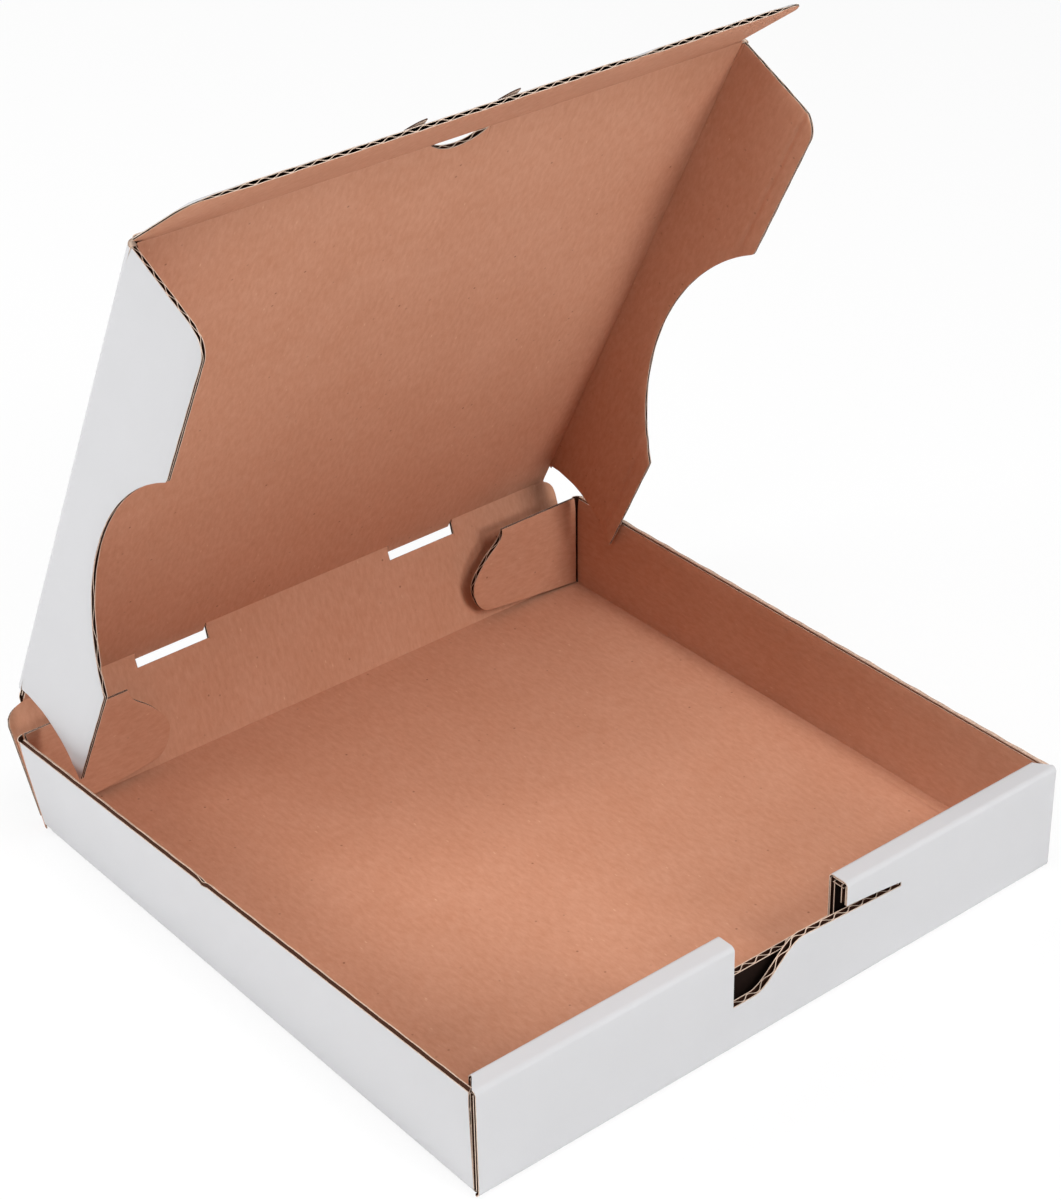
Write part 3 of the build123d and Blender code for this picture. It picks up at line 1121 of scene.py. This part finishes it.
@dataclass
class LidSideFlap(Panel):
    """A side flap of the lid: long finger cut in its free edge, pointed rear tip, rounded front corner."""

    side: int
    width: float = 40.04
    tip: float = 6.35
    root: float = 9.0
    belly: float = 12.5
    belly_at: float = 13.0
    rear_fade: float = 30.0
    front_gap: float = 0.5
    corner: float = 8.0
    cut_width: float = 117.0
    cut_depth: float = 21.5
    cut_middle: float = 116.0
    crush: Span = (0.42, 0.62)
    score_at: float = 34.4
    score_depth: float = 0.6
    score_width: float = 0.9
    phase: float = 1.56

    def rear(self, b: Grid) -> Grid:
        """Give the hollow rear edge, a circle through its root, its belly and its tip.

        Args:
            b: Places away from the fold.

        Returns:
            Place up the lid.
        """
        p = np.array([[self.root, self.sizes.gap], [self.belly, self.belly_at], [self.tip, self.width]])
        centre = np.linalg.solve(2 * (p[1:] - p[0]), (p[1:] ** 2).sum(1) - (p[0] ** 2).sum())
        radius = np.linalg.norm(p[0] - centre)
        return centre[0] + np.sqrt(radius ** 2 - (b - centre[1]) ** 2)

    def free(self, a: Grid) -> Grid:
        """Give the free edge's distance from the fold: the width, less the finger cut and the round corner."""
        cut = arc_cut(a - self.cut_middle, self.cut_width, self.cut_depth)
        return self.width - cut - round_off(a - (self.end - self.corner), self.corner)

    @property
    def end(self) -> float:
        """Place of the flap's front end up the lid."""
        return self.sizes.lid_length - self.front_gap

    def build(self) -> bpy.types.Object:
        """Build the flap's board and put it in place of the CAD flap.

        Returns:
            The flap object.
        """
        s = self.sizes
        name = "left" if self.side < 0 else "right"
        origin = s.hinge + self.side * s.lid_half * ACROSS
        flat = flat_place(origin, rising(s.lid_angle), inward(s.lid_angle), self.side * ACROSS)

        def outline(c: Grid, r: Grid) -> tuple[Grid, Grid]:
            """Run rows from the fold to the free edge, and bend the first columns onto the hollow rear edge."""
            b = s.gap + r * (self.free(c) - s.gap)
            return c + (self.rear(b) - self.tip) * np.clip(1 - (c - self.tip) / self.rear_fade, 0, 1), b

        def scored(a: Grid, b: Grid, t: Grid) -> Grid:
            """Give points of the flap, its inner face sunk along a score beside the free edge."""
            groove = self.score_depth * np.exp(-((b - self.score_at) / self.score_width) ** 2)
            return flat(a, b, t + groove * (1 - t / s.board))

        def lost(a: Grid, b: Grid) -> Grid:
            """Give the share of thickness lost along the free edge, the front end and the hollow rear edge."""
            edge = np.minimum(np.minimum(self.free(a) - b, self.end - a), a - self.rear(b))
            return self.board.crushed(edge, a + b, self.crush[self.side > 0])

        columns = np.unique(np.concatenate([
            np.linspace(self.tip, self.end, 150), np.linspace(self.end - self.corner, self.end, 16),
            np.linspace(self.tip, self.tip + self.corner, 12)]))
        rows = self.board.steps(s.gap, self.width)
        rows = (rows - rows[0]) / (rows[-1] - rows[0])
        skin_rows = np.concatenate([np.linspace(0.0, 0.75, 8), np.linspace(0.8, 1.0, 17)])
        piece = Piece(f"lid_{name}_flap_board", self.papers)
        piece.add(*self.board.panel(outline, self.board.press(scored, lost), (columns, skin_rows), (columns, rows),
                                    over_second(self.phase)))
        return piece.stand_in(f"lid_{name}_flap")


@dataclass
class LidFrontFlap(Panel):
    """Front flap of the lid, half folded, its fluted free edge to the top, with two small ears on its outside."""

    width: float = 37.0
    margin: float = 1.4
    taper: float = 1.0
    corner: float = 8.0
    ear_width: float = 6.5
    ear_root: float = 4.0
    ear_over: float = 0.2
    ear_under: float = 0.3
    ear_lift: float = 0.6
    ears: Span = (-38.0, -2.5)
    crush: float = 0.46
    dent_at: float = 48.0
    dent_width: float = 6.0
    dent_depth: float = 1.1
    dent_crush: float = 0.3
    end_crush: float = 0.4
    end_fade: float = 12.0

    @property
    def angle(self) -> float:
        """Angle of the flap above the level."""
        return self.sizes.lid_angle - self.sizes.front_fold

    @property
    def half(self) -> float:
        """Half the flap's width at its fold."""
        return self.sizes.lid_half + self.margin

    def free(self, x: Grid) -> Grid:
        """Give the free edge's distance from the fold, rounded at both ends, with one dent."""
        rounded = self.width - round_off(np.abs(x) - (self.half - self.corner), self.corner)
        return rounded - self.dent_depth * self.dent(x)

    def dent(self, x: Grid) -> Grid:
        """Give the dent's strength along the free edge, a bell curve."""
        return np.exp(-((x - self.dent_at) / self.dent_width) ** 2)

    def build(self) -> bpy.types.Object:
        """Build the flap's board and ears and put them in place of the CAD flap.

        Returns:
            The flap object.
        """
        s = self.sizes
        flat = flat_place(s.lid_front, ACROSS, rising(self.angle), -inward(self.angle))

        def place(a: Grid, b: Grid, t: Grid) -> Grid:
            """Give points of the flap, its ends drawn in a little to the free edge."""
            return flat(a * (1 - self.taper / self.half * b / self.width), b, t)

        def lost(a: Grid, b: Grid) -> Grid:
            """Give the share of thickness lost along the free edge, more at the dent and at both ends."""
            beside = self.half - np.abs(a)
            at_end = self.end_crush * np.exp(-(beside / self.end_fade) ** 2)
            crush = self.crush + self.dent_crush * self.dent(a) + at_end
            return self.board.crushed(np.minimum(self.free(a) - b, beside), a, crush)

        piece = Piece("lid_front_flap_board", self.papers)
        ends = np.linspace(self.half - self.corner, self.half, 12)
        columns = np.unique(np.concatenate([self.board.steps(-self.half, self.half), ends, -ends]))
        rows = np.array([0.0, 0.3, 0.6, 0.75, 0.82, 0.87, 0.91, 0.94, 0.965, 0.985, 1.0])
        piece.add(*self.board.panel(strip(s.gap, self.free), self.board.press(place, lost), (columns, rows),
                                    (columns, rows), over_first()))
        for middle in self.ears:
            start, low = middle - self.ear_width / 2, self.width - self.ear_root

            def curl(x: Grid, y: Grid, start: float = start, low: float = low) -> Grid:
                """Give the torn liner's inner face: it lifts off with the distance from its root and along the edge."""
                along = np.clip((x - start) / self.ear_width, 0, 1)
                lift = self.ear_lift * np.sin(np.pi / 2 * along) * ((y - low) / self.ear_root) ** 2
                return s.board - self.ear_under + lift

            def back(x: Grid, y: Grid, curl: Across = curl) -> Grid:
                """Give the torn liner's outer face."""
                return curl(x, y) + self.board.liner

            reach = np.linspace(start, start + self.ear_width, 16)
            piece.add(plate(strip(low, self.width + self.ear_over), place, reach, ROWS, (curl, back),
                            (Skin.EDGE, Skin.WHITE, Skin.MEDIUM)))
        return piece.stand_in("lid_front_flap")


@dataclass
class CornerFlap(Panel):
    """A flap folded in from a side wall's rear end, with an S-shaped fluted end."""

    side: int
    drop: float = 1.0
    floor_gap: float = 0.6
    top_length: float = 37.0
    length: float = 52.0
    belly: float = 17.0
    neck: float = 30.0
    waist: float = 43.0
    foot_length: float = 44.0
    foot_rise: float = 5.0
    crush: float = 0.25
    top_crush: float = 0.6
    slit: float = 0.7
    phase: float = 3.4

    def build(self) -> bpy.types.Object:
        """Build the flap's board and put it in place of the CAD flap.

        Returns:
            The flap object.
        """
        s = self.sizes
        name = "left" if self.side < 0 else "right"
        lean = float(s.lean(self.side, np.array(s.corner_y)))
        top = s.rise - self.drop
        knots = np.array([[self.foot_length, self.foot_rise], [self.length, self.belly],
                          [self.waist, self.neck], [self.top_length, top]])
        slopes = np.array([[17.0, 2.0], [0.0, 13.0], [-8.0, 6.5], [0.0, 13.0]])

        def end(v: Grid) -> Grid:
            """Give the S-shaped end, a chain of cubic curves through its knots with set slopes."""
            span = np.clip((v * 3).astype(int), 0, 2)
            q = (v * 3 - span)[..., None]
            p0, p1, m0, m1 = knots[span], knots[span + 1], slopes[span], slopes[span + 1]
            return ((2 * q ** 3 - 3 * q ** 2 + 1) * p0 + (q ** 3 - 2 * q ** 2 + q) * m0
                    + (3 * q ** 2 - 2 * q ** 3) * p1 + (q ** 3 - q ** 2) * m1)

        def outline(c: Grid, r: Grid) -> tuple[Grid, Grid]:
            """Run rows straight from the leaning fold to the S-shaped end."""
            curve = end(c)
            height = self.floor_gap + c * (top - self.floor_gap)
            fold = s.gap + self.slit - height * math.tan(lean)
            return height + r * (curve[..., 1] - height), fold + r * (curve[..., 0] - fold)

        flat = flat_place(s.corner_foot(self.side), UP, -self.side * ACROSS, REAR)
        steps = np.linspace(0.0, 1.0, 80)
        tip = end(steps)

        def lost(a: Grid, b: Grid) -> Grid:
            """Give the share of thickness lost along the S-shaped end and the top edge."""
            cut = self.board.crushed(np.interp(a, tip[:, 1], tip[:, 0]) - b, a + b, self.crush)
            return np.maximum(cut, self.board.crushed(top - a, b, self.top_crush))

        piece = Piece(f"rear_{name}_corner_flap_board", self.papers)
        rows = np.concatenate([np.linspace(0.0, 0.8, 8), np.linspace(0.85, 1.0, 8)])
        piece.add(*self.board.panel(outline, self.board.press(flat, lost), (steps, rows), (steps, rows),
                                    over_first(self.phase)))
        return piece.stand_in(f"rear_{name}_corner_flap")


@dataclass
class Creases(Panel):
    """The white liner bent round every fold that moves, one piece to each fold."""

    reach: float = 1.6
    inner_reach: float = 0.9
    under: float = 0.03
    end: float = 0.6
    short_reach: float = 0.4
    moon_half: float = 12.0
    flap_root: float = 9.0
    flap_gap: float = 0.5
    corner_low: float = -2.3
    corner_drop: float = 1.2
    points: int = 30

    def lay(self, name: str, bodies: tuple[str, str], axis: Along, first: tuple[Grid, Grid],
            second: tuple[Grid, Grid], spans: Sequence[tuple[float, float]], reach: float, skin: Skin = Skin.WHITE,
            closed: bool = True) -> bpy.types.Object:
        """Build one crease and let it bend between its two bodies.

        Args:
            name: Name of the piece.
            bodies: The two bodies that the fold joins; not used.
            axis: Points along the fold line.
            first: Outer normal and direction away from the fold on the first body.
            second: The same on the second body.
            spans: Stretches along the fold that are not cut.
            reach: Length laid on each panel.
            skin: Paper of the outer face.
            closed: Whether the brown liner closes the fold inside and its far end is pressed shut.

        Returns:
            The crease object.
        """
        piece = Piece(name, self.papers)
        starts, stops = tuple(fixed(*v) for v in first), tuple(fixed(*v) for v in second)
        for low, high in spans:
            along = np.linspace(low, high, self.points)
            outer = self.board.thickness - self.under
            piece.add(self.board.bend(axis, starts, stops, along, reach, outer, skin=skin))
            if closed:
                piece.add(self.board.gusset(axis, first, second, along, self.inner_reach),
                          self.board.bend(axis, starts, stops, np.array([high - self.end, high]), 0.0,
                                          outer - self.under, outer - 3 * self.under, skin))
        thing = piece.build()
        middle = axis(np.array([0.5 * (spans[0][0] + spans[-1][1])]))[0]
        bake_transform(thing)
        return thing

    def build(self) -> list[bpy.types.Object]:
        """Build every moving crease of the box.

        Returns:
            The crease objects.
        """
        s, near = self.sizes, self.short_reach
        wall, lid, flap = s.rear_slope, s.lid_angle, s.lid_angle - s.front_fold
        vents = s.vent_edges()
        made = [
            self.lay("rear_foot_crease", ("tray", "rear_wall"), line(s.rear_foot, ACROSS), (-UP, -REAR),
                     (-inward(wall), rising(wall)), [(-s.side_crease, s.side_crease)], near),
            self.lay("hinge_crease", ("rear_wall", "lid"), line(s.hinge, ACROSS), (-inward(wall), -rising(wall)),
                     (-inward(lid), rising(lid)),
                     [(-s.lid_half, vents[0]), (vents[1], vents[2]), (vents[3], s.lid_half)], self.reach),
            self.lay("lid_front_crease", ("lid", "lid_front_flap"), line(s.lid_front, ACROSS),
                     (-inward(lid), -rising(lid)), (-inward(flap), rising(flap)),
                     [(-s.lid_half, -self.moon_half), (self.moon_half, s.lid_half)], near),
        ]
        for side, name in ((-1, "left"), (1, "right")):
            edge = line(s.hinge + side * s.lid_half * ACROSS, rising(lid))
            up, out = s.wall_up(side, np.array(s.corner_y)), s.wall_out(side, np.array(s.corner_y))
            made += [
                self.lay(f"lid_{name}_crease", ("lid", f"lid_{name}_flap"), edge, (-inward(lid), -side * ACROSS),
                         (side * ACROSS, inward(lid)), [(self.flap_root, s.lid_length - self.flap_gap)], near),
                self.lay(f"rear_{name}_corner_crease", ("tray", f"rear_{name}_corner_flap"),
                         line(s.corner_foot(side), up), (out, -REAR), (REAR, -out),
                         [(self.corner_low, s.rise - self.corner_drop)], near,
                         Skin.KRAFT if side < 0 else Skin.WHITE, closed=False),
            ]
        return made


@dataclass(frozen=True)
class Softbox:
    """A square soft light: its name, its place and side in metres, and its power in watts."""

    name: str
    place: tuple[float, float, float]
    size: float
    power: float


LIGHTS = (
    Softbox("key_softbox", (0.3, -1.5, 1.55), 0.5, 13.0),
    Softbox("right_front_softbox", (0.45, -1.9, 0.95), 0.5, 12.6),
    Softbox("top_softbox", (0.0, -0.5, 2.0), 1.0, 18.8),
    Softbox("left_rear_softbox", (-1.5, 0.9, 0.8), 0.8, 17.6),
    Softbox("left_softbox", (-1.58, -0.42, 1.2), 0.8, 7.2),
    Softbox("rear_softbox", (0.0, 2.0, 1.2), 1.0, 12.0),
)


@dataclass
class Studio:
    """Camera at the photo's angle, plain pale floor, and soft light from above and the front."""

    eye_mm: tuple[float, float, float] = (-509.35, -632.45, 603.62)
    azimuth: float = 38.90
    elevation: float = 31.79
    roll: float = -1.202
    lens_mm: float = 86.53
    floor_colour: str = "FBFBFB"
    sweep: float = 0.86
    floor_half_m: float = 3.0
    floor_drop_mm: float = 0.3
    surround: float = 0.02
    aim: tuple[float, float, float] = (0.0, 0.0, 0.08)
    lights: tuple[Softbox, ...] = LIGHTS

    def build(self) -> None:
        """Set up the view, the camera, the floor and the lights."""
        scene = bpy.context.scene
        scene.view_settings.view_transform = "Standard"
        self.add_camera(scene)
        self.add_floor(scene)
        self.add_world(scene)
        for softbox in self.lights:
            self.add_light(scene, softbox)

    def add_camera(self, scene: bpy.types.Scene) -> None:
        """Place the camera from its bearing, its height angle and its small roll.

        Args:
            scene: Scene that takes the camera.
        """
        az, el, roll = (math.radians(v) for v in (self.azimuth, self.elevation, self.roll))
        ahead = np.array([math.sin(az) * math.cos(el), math.cos(az) * math.cos(el), -math.sin(el)])
        level = np.array([math.cos(az), -math.sin(az), 0.0])
        above = np.cross(level, ahead)
        right = math.cos(roll) * level + math.sin(roll) * above
        up = np.cross(right, ahead)
        data = bpy.data.cameras.new("photo_camera")
        data.lens, data.sensor_width, data.clip_start = self.lens_mm, 36.0, 0.01
        camera = bpy.data.objects.new("photo_camera", data)
        turn = np.eye(4)
        turn[:3, :3] = np.column_stack([right, up, -ahead])
        turn[:3, 3] = np.array(self.eye_mm) * MM
        camera.matrix_world = Matrix(turn.tolist())
        scene.collection.objects.link(camera)
        scene.camera = camera

    def add_floor(self, scene: bpy.types.Scene) -> None:
        """Lay a plain pale floor under the box.

        Args:
            scene: Scene that takes the floor.
        """
        half, level = self.floor_half_m, -self.floor_drop_mm * MM
        corners = [(x * half, y * half, level) for x, y in ((-1, -1), (1, -1), (1, 1), (-1, 1))]
        mesh = bpy.data.meshes.new("floor")
        mesh.from_pydata(corners, [], [(0, 1, 2, 3)])
        material, tree = new_material("pale_studio_floor")
        shader = add_node(tree, "ShaderNodeBsdfDiffuse", {}, {"Color": linear(self.floor_colour)})
        # the camera sees the floor partly as an even white sweep, so only a soft shadow stays on it
        sweep = add_node(tree, "ShaderNodeEmission", {}, {"Color": linear("FFFFFF"), "Strength": 1.0})
        path = add_node(tree, "ShaderNodeLightPath", {}, {})
        share = add_node(tree, "ShaderNodeMath", {"operation": "MULTIPLY"}, {
            0: path.outputs["Is Camera Ray"], 1: self.sweep})
        both = add_node(tree, "ShaderNodeMixShader", {}, {
            0: share.outputs["Value"], 1: shader.outputs["BSDF"], 2: sweep.outputs["Emission"]})
        add_node(tree, "ShaderNodeOutputMaterial", {}, {"Surface": both.outputs["Shader"]})
        mesh.materials.append(material)
        floor = bpy.data.objects.new("floor", mesh)
        scene.collection.objects.link(floor)

    def add_world(self, scene: bpy.types.Scene) -> None:
        """Give an even pale surround, white where the camera sees it.

        Args:
            scene: Scene that takes the world.
        """
        world = bpy.data.worlds.new("studio_surround")
        world.use_nodes = True
        world.node_tree.nodes.clear()
        tree = world.node_tree
        path = add_node(tree, "ShaderNodeLightPath", {}, {})
        soft = add_node(tree, "ShaderNodeBackground", {}, {"Color": linear("FFFFFF"), "Strength": self.surround})
        seen = add_node(tree, "ShaderNodeBackground", {}, {"Color": linear("FFFFFF"), "Strength": 1.0})
        both = add_node(tree, "ShaderNodeMixShader", {}, {
            0: path.outputs["Is Camera Ray"], 1: soft.outputs["Background"], 2: seen.outputs["Background"]})
        add_node(tree, "ShaderNodeOutputWorld", {}, {"Surface": both.outputs["Shader"]})
        scene.world = world

    def add_light(self, scene: bpy.types.Scene, softbox: Softbox) -> None:
        """Hang a square soft light that looks at the box.

        Args:
            scene: Scene that takes the light.
            softbox: The light's place, size and power.
        """
        data = bpy.data.lights.new(softbox.name, "AREA")
        data.size, data.energy = softbox.size, softbox.power
        lamp = bpy.data.objects.new(softbox.name, data)
        lamp.location = softbox.place
        lamp.rotation_euler = (Vector(self.aim) - Vector(softbox.place)).to_track_quat("-Z", "Y").to_euler()
        scene.collection.objects.link(lamp)


def main() -> None:
    """Build every piece in order and report it."""
    logging.basicConfig(level=logging.INFO, format="%(message)s")
    sizes, board, papers = Sizes(), Board(), Papers()
    papers.build()
    made_of = (sizes, board, papers)
    makers = [Tray(*made_of), RearWall(*made_of), Lid(*made_of), LidSideFlap(*made_of, -1), LidSideFlap(*made_of, 1),
              LidFrontFlap(*made_of), CornerFlap(*made_of, -1), CornerFlap(*made_of, 1), Creases(*made_of), Studio()]
    for maker in makers:
        made = maker.build()
        LOG.info("%s done: %s", type(maker).__name__, made)


if __name__ == "__main__":
    main()
